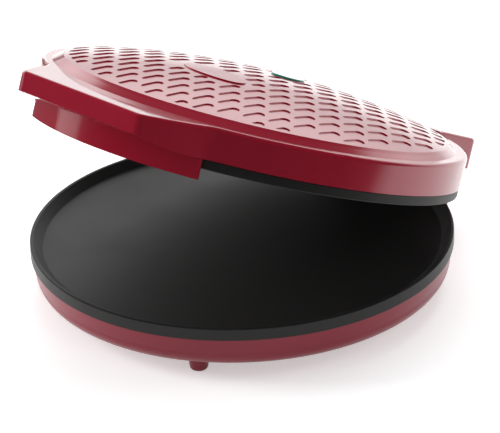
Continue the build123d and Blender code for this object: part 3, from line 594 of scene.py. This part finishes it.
class SolidBuilder:
    """Collects faces with a normal at each corner, and merges points that lie together."""

    def __init__(self):
        self.points = []
        self.index = {}
        self.faces = []
        self.normals = []

    def point(self, place):
        """Number of the point at a place, new or known."""
        key = tuple(round(c / SAME_POINT) for c in place)
        if key not in self.index:
            self.index[key] = len(self.points)
            self.points.append(tuple(float(c) for c in place))
        return self.index[key]

    def face(self, places, normals):
        """Adds a face, unless it has shrunk to a line."""
        corners = [self.point(place) for place in places]
        if len(set(corners)) == len(corners):
            self.faces.append(corners)
            self.normals.extend(tuple(float(c) for c in normal) for normal in normals)

    def mesh(self, name):
        """The finished mesh, shaded by its own normals."""
        made = bpy.data.meshes.new(name)
        made.from_pydata(self.points, [], self.faces)
        made.shade_smooth()
        made.normals_split_custom_set(self.normals)
        return made


def boundary_loops(triangles):
    """Closed loops of point numbers round a patch of triangles, the longest first."""
    edges = {(a, b) for t in triangles for a, b in ((t[0], t[1]), (t[1], t[2]), (t[2], t[0]))}
    after = {a: b for a, b in edges if (b, a) not in edges}
    loops = []
    while after:
        start, here = after.popitem()
        loop = [start]
        while here != start:
            loop.append(here)
            here = after.pop(here)
        loops.append(loop)
    return sorted(loops, key=len, reverse=True)


def anticlockwise(loop):
    """The loop of points in plan, turned anticlockwise."""
    plan = np.array(loop)
    after = np.roll(plan, -1, axis=0)
    area = np.sum(plan[:, 0] * after[:, 1] - after[:, 0] * plan[:, 1])
    return loop if area > 0 else loop[::-1]


def build_lid_mesh(pattern):
    """The lid shell's solid, with the square-ended slots of its dome exchanged for finely shaped ones."""
    to_dome = np.array(dome_frame().inverted())
    from_dome = np.array(dome_frame())
    turn = from_dome[:3, :3]
    places, normals = corner_data("lid_shell")
    local = through(to_dome, places.reshape(-1, 3))
    centre = np.array((0.0, 0.0, DOME_CROWN - DOME_SPHERE))
    depth = DOME_SPHERE - np.linalg.norm(local - centre, axis=1)
    off_axis = np.hypot(local[:, 0], local[:, 1])
    in_skin = (depth > -ON_SURFACE) & (depth < pattern.slot_depth + SLOT_SPARE)
    in_plan = off_axis < DOME_RADIUS + ON_SURFACE
    on_dome = (in_skin & in_plan).reshape(-1, 3).all(axis=1)

    solid = SolidBuilder()
    for corners, directions in zip(places[~on_dome], normals[~on_dome]):
        solid.face(corners, directions)
    patch = [[solid.point(place) for place in corners] for corners in places[on_dome]]
    patch = [t for t in patch if len(set(t)) == 3]

    plan, heights, outlines = [], [], []
    for loop in boundary_loops(patch):
        rim = through(to_dome, np.array([solid.points[i] for i in loop]))
        outlines.append(anticlockwise([tuple(p) for p in rim]))
    slots = slot_outlines(pattern)
    profile = slot_profile(pattern)
    first_inset = profile[0][0]
    for slot in slots:
        rim = slot - outward(slot) * first_inset
        outlines.append([(x, y, dome_height(x, y)) for x, y in rim])
    faces = []
    for outline in outlines:
        faces.append(list(range(len(plan), len(plan) + len(outline))))
        plan.extend(Vector(p[:2]) for p in outline)
        heights.extend(p[2] for p in outline)

    # Only triangles that lie in the dome's edge, the first outline, and in no other are the dome's
    cut = delaunay_2d_cdt(plan, [], faces, 1, CDT_EPSILON)
    out_plan, _, out_faces, from_points, _, from_faces = cut
    for triangle, covered in zip(out_faces, from_faces):
        if len(covered) != 1 or covered[0] != 0:
            continue
        corners, directions = [], []
        for i in triangle:
            x, y = out_plan[i]
            z = heights[from_points[i][0]] if from_points[i] else dome_height(x, y)
            corners.append((x, y, z))
            directions.append(turn @ dome_normal(x, y))
        solid.face(through(from_dome, np.array(corners)), directions)

    for slot in slots:
        add_slot(solid, slot, profile, from_dome)
    return solid.mesh("lid_shell_patterned")


def add_slot(solid, slot, profile, from_dome):
    """Adds one slot's rounded edge, wall and floor."""
    turn = from_dome[:3, :3]
    away = outward(slot)
    rings = []
    for inset, depth, slope in profile:
        ring = slot - away * inset
        places = [(x, y, dome_height(x, y) - depth) for x, y in ring]
        tilts = []
        for (x, y), side in zip(ring, away):
            level = dome_normal(x, y) * math.cos(slope)
            tilts.append(turn @ (level - np.array((*side, 0.0)) * math.sin(slope)))
        rings.append((through(from_dome, np.array(places)), tilts))
    count = len(slot)
    for (outer, outer_tilts), (inner, inner_tilts) in zip(rings, rings[1:]):
        for here in range(count):
            after = (here + 1) % count
            solid.face(
                (outer[here], outer[after], inner[after], inner[here]),
                (outer_tilts[here], outer_tilts[after], inner_tilts[after], inner_tilts[here]),
            )
    solid.face(*rings[-1])


# Screws


def screw_places(node, frame_of_body, head_height):
    """A mesh of points, one under each screw's head, with the way that it faces, and the shank's length."""
    places, _ = corner_data(node)
    local = through(frame_of_body.inverted(), places.reshape(-1, 3))
    groups = []
    for point in local:
        for group in groups:
            if math.dist(group[0][:2], point[:2]) < SCREW_GAP:
                group.append(point)
                break
        else:
            groups.append([point])
    seats, facings = [], []
    for group in groups:
        cloud = np.array(group)
        low, high = cloud.min(axis=0), cloud.max(axis=0)
        middle = (low + high) / 2
        off_axis = np.abs(cloud[:, :2] - middle[:2]).max(axis=1)
        of_head = cloud[off_axis > HEAD_SHARE * (high - low)[:2].max()]
        up = 1.0 if of_head[:, 2].mean() > middle[2] else -1.0
        end = high[2] if up > 0 else low[2]
        seats.append((middle[0], middle[1], end - up * head_height))
        facings.append(frame_of_body.to_3x3() @ Vector((0.0, 0.0, up)))
    mesh = bpy.data.meshes.new(node + "_places")
    mesh.from_pydata([frame_of_body @ Vector(seat) for seat in seats], [], [])
    facing = mesh.attributes.new("facing", "FLOAT_VECTOR", "POINT")
    facing.data.foreach_set("vector", [c for way in facings for c in way])
    return mesh, float(high[2] - low[2] - head_height)


def screw_tree():
    """Geometry nodes: one pan-head screw with a cross recess, set on every point to face its own way."""
    tree = bpy.data.node_groups.new("pan_head_screws", "GeometryNodeTree")
    sockets = {
        "Places": "Geometry", "Head Radius": "Float", "Head Height": "Float", "Crown Radius": "Float",
        "Shank Radius": "Float", "Shank Length": "Float", "Recess Length": "Float", "Recess Width": "Float",
        "Recess Depth": "Float", "Material": "Material",
    }
    for label, kind in sockets.items():
        tree.interface.new_socket(label, in_out="INPUT", socket_type="NodeSocket" + kind)
    tree.interface.new_socket("Screws", in_out="OUTPUT", socket_type="NodeSocketGeometry")
    nodes = Shader(tree)
    given = nodes.add("NodeGroupInput").outputs
    height = given["Head Height"]

    def raised(mesh, amount):
        """A mesh lifted along Z."""
        shift = nodes.add("ShaderNodeCombineXYZ", {"Z": amount}).outputs[0]
        return nodes.add("GeometryNodeTransform", {"Geometry": mesh, "Translation": shift}).outputs[0]

    def boolean(operation, first, *others):
        """The first mesh joined with, cut by or cut out of the others."""
        node = nodes.add("GeometryNodeMeshBoolean", operation=operation, solver="EXACT")
        if operation == "DIFFERENCE":
            tree.links.new(first, node.inputs["Mesh 1"])
        else:
            others = (first, *others)
        for other in others:
            tree.links.new(other, node.inputs["Mesh 2"])
        return node.outputs["Mesh"]

    drum = nodes.add(
        "GeometryNodeMeshCylinder", {"Vertices": HEAD_SIDES, "Radius": given["Head Radius"], "Depth": height}
    )
    ball = nodes.add(
        "GeometryNodeMeshUVSphere",
        {"Segments": CROWN_SIDES, "Rings": CROWN_RINGS, "Radius": given["Crown Radius"]},
    )
    crown_centre = maths(nodes, "SUBTRACT", height, given["Crown Radius"])
    head = boolean(
        "INTERSECT", raised(drum.outputs["Mesh"], maths(nodes, "MULTIPLY", height, 0.5)),
        raised(ball.outputs["Mesh"], crown_centre),
    )
    root = maths(nodes, "MULTIPLY", height, SHANK_ROOT)
    shank_depth = maths(nodes, "ADD", given["Shank Length"], root)
    shank = nodes.add(
        "GeometryNodeMeshCylinder",
        {"Vertices": SHANK_SIDES, "Radius": given["Shank Radius"], "Depth": shank_depth},
    ).outputs["Mesh"]
    shank_middle = maths(nodes, "SUBTRACT", root, maths(nodes, "MULTIPLY", shank_depth, 0.5))
    screw = boolean("UNION", head, raised(shank, shank_middle))
    cross_depth = maths(nodes, "MULTIPLY", given["Recess Depth"], 2.0)
    for x, y in (("Recess Length", "Recess Width"), ("Recess Width", "Recess Length")):
        size = nodes.add("ShaderNodeCombineXYZ", {"X": given[x], "Y": given[y], "Z": cross_depth}).outputs[0]
        arm = nodes.add("GeometryNodeMeshCube", {"Size": size}).outputs["Mesh"]
        screw = boolean("DIFFERENCE", screw, raised(arm, height))

    way = nodes.add("GeometryNodeInputNamedAttribute", {"Name": "facing"}, data_type="FLOAT_VECTOR")
    turned = nodes.add(
        "FunctionNodeAlignRotationToVector", {"Vector": way.outputs[0]}, axis="Z"
    ).outputs[0]
    placed = nodes.add(
        "GeometryNodeInstanceOnPoints", {"Points": given["Places"], "Instance": screw, "Rotation": turned}
    ).outputs[0]
    real = nodes.add("GeometryNodeRealizeInstances", {"Geometry": placed}).outputs[0]
    plated = nodes.add("GeometryNodeSetMaterial", {"Geometry": real, "Material": given["Material"]})
    nodes.add("NodeGroupOutput", {"Screws": plated.outputs[0]})
    return tree


def grown_mesh(name, points, tree, values):
    """The plain mesh that a tree of geometry nodes grows on a mesh of points."""
    holder = bpy.data.objects.new(name, points)
    bpy.context.scene.collection.objects.link(holder)
    modifier = holder.modifiers.new(name, "NODES")
    modifier.node_group = tree
    for item in tree.interface.items_tree:
        if item.name in values:
            modifier[item.identifier] = values[item.name]
    grown = holder.evaluated_get(bpy.context.evaluated_depsgraph_get())
    mesh = bpy.data.meshes.new_from_object(grown)
    holder.modifiers.remove(modifier)
    bpy.data.objects.remove(holder)
    bpy.data.meshes.remove(points)
    mesh.name = name
    mesh.shade_smooth()
    mesh.set_sharp_from_angle(angle=CREASE)
    return mesh


# Operators for the pieces


class PIZZA_OT_lid_shell(Operator):
    """Build the lid shell with its patterned dome"""

    bl_idname = "pizza.lid_shell"
    bl_label = "Lid shell"

    def execute(self, context):
        scene = context.scene
        material = gloss_red(
            "lid_lacquer", scene.pizza_finishes.lid_red, low=0.26, high=0.36, IOR=1.5, Coat_Weight=1.0,
            Coat_Roughness=0.025,
        )
        mesh = build_lid_mesh(scene.pizza_pattern)
        add_object("lid_shell_patterned", mesh, "lid", "red_gloss", material, "lid_shell")
        dress(["handle_guard"], material)
        return {"FINISHED"}


class PIZZA_OT_base(Operator):
    """Finish the base shell and its feet"""

    bl_idname = "pizza.base"
    bl_label = "Base shell and feet"

    def execute(self, context):
        material = gloss_red(
            "base_plastic", context.scene.pizza_finishes.base_red, low=0.34, high=0.44, IOR=1.35,
            Coat_Weight=0.3, Coat_Roughness=0.12,
        )
        dress(["base_shell", "feet"], material)
        return {"FINISHED"}


class PIZZA_OT_plates(Operator):
    """Finish the two coated plates"""

    bl_idname = "pizza.plates"
    bl_label = "Plates"

    def execute(self, context):
        colours = shades(context.scene.pizza_finishes.coating, 0.7, 1.6)
        material = finish("nonstick_coating", "coated_cast", colours, 0.02 * MM, IOR=1.36)
        dress(["lower_plate", "upper_plate"], material)
        return {"FINISHED"}


class PIZZA_OT_indicator(Operator):
    """Finish the indicator's lens and lamp"""

    bl_idname = "pizza.indicator"
    bl_label = "Indicator"

    def execute(self, context):
        finishes = context.scene.pizza_finishes
        lens = finish(
            "lens_plastic", "moulded_skin", shades(finishes.lens_green, 0.85, 1.15), 0.003 * MM,
            {"Low Gloss": 0.04, "High Gloss": 0.10}, IOR=1.5, Transmission_Weight=0.15, Coat_Weight=1.0,
            Coat_Roughness=0.03,
        )
        dress(["indicator_lens"], lens)
        glass = finish(
            "lamp_glass", "moulded_skin", shades(finishes.glass, 0.95, 1.05), 0.002 * MM,
            {"Low Gloss": 0.02, "High Gloss": 0.05}, IOR=1.45, Transmission_Weight=0.9,
        )
        dress(["indicator_lamp"], glass)
        return {"FINISHED"}


class PIZZA_OT_metalwork(Operator):
    """Finish the heaters, straps, reflectors, hinge pins and clips"""

    bl_idname = "pizza.metalwork"
    bl_label = "Metalwork"

    def execute(self, context):
        finishes = context.scene.pizza_finishes
        element = finish(
            "heater_sheath", "worked_metal", shades(finishes.element, 0.7, 1.3), 0.01 * MM,
            {"Low Rough": 0.38, "High Rough": 0.55}, Metallic=1.0,
        )
        dress(["lower_heater", "upper_heater"], element)
        sheet = finish(
            "rolled_sheet", "worked_metal", shades(finishes.sheet_metal, 0.9, 1.08), 0.008 * MM, Metallic=1.0
        )
        sheets = ["lower_heater_straps", "lower_reflector", "upper_heater_straps", "upper_reflector"]
        dress(sheets, sheet)
        zinc = finish(
            "zinc_plating", "worked_metal", shades(finishes.zinc, 0.88, 1.1), 0.006 * MM,
            {"Mark Length": 1.0, "Low Rough": 0.2, "High Rough": 0.36}, Metallic=1.0,
        )
        dress(["hinge_pins", "pin_clips"], zinc)
        return {"FINISHED"}


class PIZZA_OT_screws(Operator):
    """Build the pan-head screws with their cross recesses"""

    bl_idname = "pizza.screws"
    bl_label = "Screws"

    def execute(self, context):
        screws, zinc = context.scene.pizza_screws, bpy.data.materials["zinc_plating"]
        tree = screw_tree()
        for node, body in SCREW_NODES.items():
            frame_of_body = lid_frame() if body == "lid" else Matrix.Identity(4)
            points, shank_length = screw_places(node, frame_of_body, screws.head_height)
            values = {"Shank Length": shank_length, "Material": zinc}
            for name in screws.__annotations__:
                values[name.replace("_", " ").title()] = getattr(screws, name)
            mesh = grown_mesh(node + "_crossed", points, tree, values)
            add_object(node + "_crossed", mesh, body, "zinc_steel", zinc, node)
        return {"FINISHED"}


class PIZZA_OT_electrics(Operator):
    """Finish the thermostats, fuse, terminal block, lamp holder and gland"""

    bl_idname = "pizza.electrics"
    bl_label = "Electrical pieces"

    def execute(self, context):
        finishes = context.scene.pizza_finishes
        dull = {"Low Gloss": 0.42, "High Gloss": 0.6, "Grain Share": 0.8}
        resin = finish("dark_resin", "moulded_skin", shades(finishes.phenolic), 0.02 * MM, dull)
        dress(["lower_thermostat", "upper_thermostat", "lamp_holder"], resin)
        nylon = finish("pale_nylon", "moulded_skin", shades(finishes.nylon), 0.015 * MM, dull)
        dress(["terminal_block"], nylon)
        rubber = finish("black_rubber", "moulded_skin", shades(finishes.rubber, 0.8, 1.3), 0.03 * MM, dull)
        dress(["cord_gland"], rubber)
        sleeve = finish("fuse_sleeve", "coated_cast", shades(finishes.sleeve, 0.85, 1.1), 0.05 * MM)
        dress(["thermal_fuse"], sleeve)
        return {"FINISHED"}


# Camera, floor, world and lamps


def camera_axes(studio):
    """Right, up and backward directions of the camera."""
    a, e, r = studio.azimuth, studio.elevation, studio.roll
    back = Vector((math.sin(a) * math.cos(e), -math.cos(a) * math.cos(e), math.sin(e)))
    level = Vector((math.cos(a), math.sin(a), 0.0))
    above = back.cross(level)
    right = level * math.cos(r) + above * math.sin(r)
    return right, back.cross(right), back


def add_camera(studio):
    """The camera at the photograph's angle."""
    right, up, back = camera_axes(studio)
    data = bpy.data.cameras.new("camera")
    data.sensor_width = SENSOR_WIDTH
    data.lens = studio.focal_px * SENSOR_WIDTH / FRAME_WIDTH_PX
    data.clip_end = CLIP_DISTANCES * studio.distance
    camera = bpy.data.objects.new("camera", data)
    bpy.context.scene.collection.objects.link(camera)
    turn = Matrix((right, up, back)).transposed().to_4x4()
    camera.matrix_world = Matrix.Translation(Vector(studio.aim) + back * studio.distance) @ turn
    bpy.context.scene.camera = camera


def add_softbox(name, place, size, power):
    """A rectangular lamp that faces the object. The gloss doesn't show it."""
    data = bpy.data.lights.new(name, "AREA")
    data.shape = "RECTANGLE"
    data.size, data.size_y = size
    data.energy = power
    lamp = bpy.data.objects.new(name, data)
    bpy.context.scene.collection.objects.link(lamp)
    lamp.visible_glossy = False
    lamp.location = place
    lamp.rotation_mode = "QUATERNION"
    lamp.rotation_quaternion = (Vector(LAMP_TARGET) - Vector(place)).to_track_quat("-Z", "Y")


def smooth_step(shader, value, start, end, low=0.0, high=1.0):
    """Passes smoothly from low to high as the value goes from start to end."""
    values = {"Value": value, "From Min": start, "From Max": end, "To Min": low, "To Max": high}
    return shader.add("ShaderNodeMapRange", values, interpolation_type="SMOOTHSTEP").outputs[0]


def along(shader, vector, direction):
    """How far a vector reaches in a direction."""
    reach = shader.add("ShaderNodeVectorMath", {0: vector, 1: direction}, operation="DOT_PRODUCT")
    return reach.outputs["Value"]


def bearing(degrees):
    """Level direction at a bearing from the front, turning to the right."""
    angle = math.radians(degrees)
    return math.sin(angle), -math.cos(angle), 0.0


def add_floor(studio):
    """A pale floor that keeps the object's shadow. In the gloss it darkens to the front and the left."""
    half = studio.floor_size / 2
    net = bmesh.new()
    bmesh.ops.create_grid(net, x_segments=FLOOR_CELLS, y_segments=FLOOR_CELLS, size=half)
    mesh = bpy.data.meshes.new("floor")
    net.to_mesh(mesh)
    net.free()
    floor = bpy.data.objects.new("floor", mesh)
    bpy.context.scene.collection.objects.link(floor)
    material = bpy.data.materials.new("pale_floor")
    material.use_nodes = True
    shader = Shader(material.node_tree)
    principled = material.node_tree.nodes["Principled BSDF"]
    principled.inputs["Roughness"].default_value = FLOOR_ROUGHNESS
    principled.inputs["Specular IOR Level"].default_value = FLOOR_SHINE
    principled.inputs["Emission Color"].default_value = WHITE
    rays = shader.add("ShaderNodeLightPath")
    place = shader.add("ShaderNodeTexCoord").outputs["Object"]
    front = smooth_step(shader, along(shader, place, bearing(DARK_SIDE)), *studio.table_edge)
    left = smooth_step(shader, along(shader, place, bearing(LEFT_SIDE)), *studio.table_edge)
    beyond = maths(shader, "MAXIMUM", front, left)
    flagged = maths(shader, "MULTIPLY", beyond, rays.outputs["Is Glossy Ray"])
    lit = maths(shader, "SUBTRACT", 1.0, flagged)
    grey = spread(shader, lit, DARK_FLOOR, studio.floor_grey)
    seen = maths(shader, "MAXIMUM", rays.outputs["Is Camera Ray"], rays.outputs["Is Glossy Ray"])
    lift = maths(shader, "MULTIPLY", maths(shader, "MULTIPLY", seen, studio.floor_lift), lit)
    material.node_tree.links.new(grey, principled.inputs["Base Color"])
    material.node_tree.links.new(lift, principled.inputs["Emission Strength"])
    mesh.materials.append(material)


def add_world(studio):
    """White behind the object. The gloss shows a bright far side, a strip lamp and a dark front."""
    world = bpy.data.worlds.new("studio")
    world.use_nodes = True
    bpy.context.scene.world = world
    tree = world.node_tree
    shader = Shader(tree)
    background = tree.nodes["Background"]
    rays = shader.add("ShaderNodeLightPath")
    direction = shader.add("ShaderNodeTexCoord").outputs["Generated"]
    height = along(shader, direction, (0.0, 0.0, 1.0))
    far_side = smooth_step(shader, along(shader, direction, bearing(FAR_SIDE)), *FAR_SIDE_EDGE)
    low = smooth_step(shader, height, *GLOW_END, 1.0, ABOVE_GLOW)
    glow = smooth_step(shader, height, *GLOW_RISE, 1.0, studio.back_glow)
    panel = maths(shader, "MULTIPLY", maths(shader, "MULTIPLY", far_side, low), glow)
    toward_strip = along(shader, direction, bearing(STRIP_SIDE))
    strip = smooth_step(shader, toward_strip, *STRIP_EDGE, 0.0, STRIP_BRIGHTNESS)
    mirror = maths(shader, "ADD", maths(shader, "ADD", panel, strip), DARK_ROOM)
    mirrored = maths(shader, "MAXIMUM", rays.outputs["Is Glossy Ray"], rays.outputs["Is Transmission Ray"])
    open_air = spread(shader, rays.outputs["Is Camera Ray"], studio.fill, 1.0)
    seen = {"Factor": mirrored, "A": open_air, "B": mirror}
    strength = shader.add("ShaderNodeMix", seen, data_type="FLOAT")
    tree.links.new(strength.outputs["Result"], background.inputs["Strength"])
    background.inputs["Color"].default_value = WHITE


class PIZZA_OT_stage(Operator):
    """Set up the camera, the floor, the world and the lamps"""

    bl_idname = "pizza.stage"
    bl_label = "Stage"

    def execute(self, context):
        studio = context.scene.pizza_studio
        add_camera(studio)
        add_floor(studio)
        add_world(studio)
        for softbox in SOFTBOXES:
            add_softbox(*softbox)
        context.scene.view_settings.view_transform = "Standard"
        return {"FINISHED"}


OPERATORS = (
    PIZZA_OT_stage,
    PIZZA_OT_lid_shell,
    PIZZA_OT_base,
    PIZZA_OT_plates,
    PIZZA_OT_indicator,
    PIZZA_OT_metalwork,
    PIZZA_OT_screws,
    PIZZA_OT_electrics,
)


class PIZZA_PT_panel(Panel):
    """The pizza maker's pieces and sizes"""

    bl_label = "Pizza maker"
    bl_idname = "PIZZA_PT_panel"
    bl_space_type = "VIEW_3D"
    bl_region_type = "UI"
    bl_category = "Pizza maker"

    def draw(self, context):
        for operator in OPERATORS:
            self.layout.operator(operator.bl_idname)
        for group_name in GROUPS:
            group = getattr(context.scene, group_name)
            box = self.layout.box()
            for name in group.__annotations__:
                box.prop(group, name)


CLASSES = (*GROUPS.values(), *OPERATORS, PIZZA_PT_panel)


def register():
    """Registers the classes and puts the groups of settings on the scene."""
    for kind in CLASSES:
        bpy.utils.register_class(kind)
    for name, kind in GROUPS.items():
        setattr(bpy.types.Scene, name, PointerProperty(type=kind))


def unregister():
    """Takes away what register put in place, in the opposite order."""
    for name in reversed(GROUPS):
        delattr(bpy.types.Scene, name)
    for kind in reversed(CLASSES):
        bpy.utils.unregister_class(kind)


def main():
    """Builds everything in order."""
    register()
    bpy.ops.pizza.stage()
    bpy.ops.pizza.lid_shell()
    bpy.ops.pizza.base()
    bpy.ops.pizza.plates()
    bpy.ops.pizza.indicator()
    bpy.ops.pizza.metalwork()
    bpy.ops.pizza.screws()
    bpy.ops.pizza.electrics()


if __name__ == "__main__":
    main()
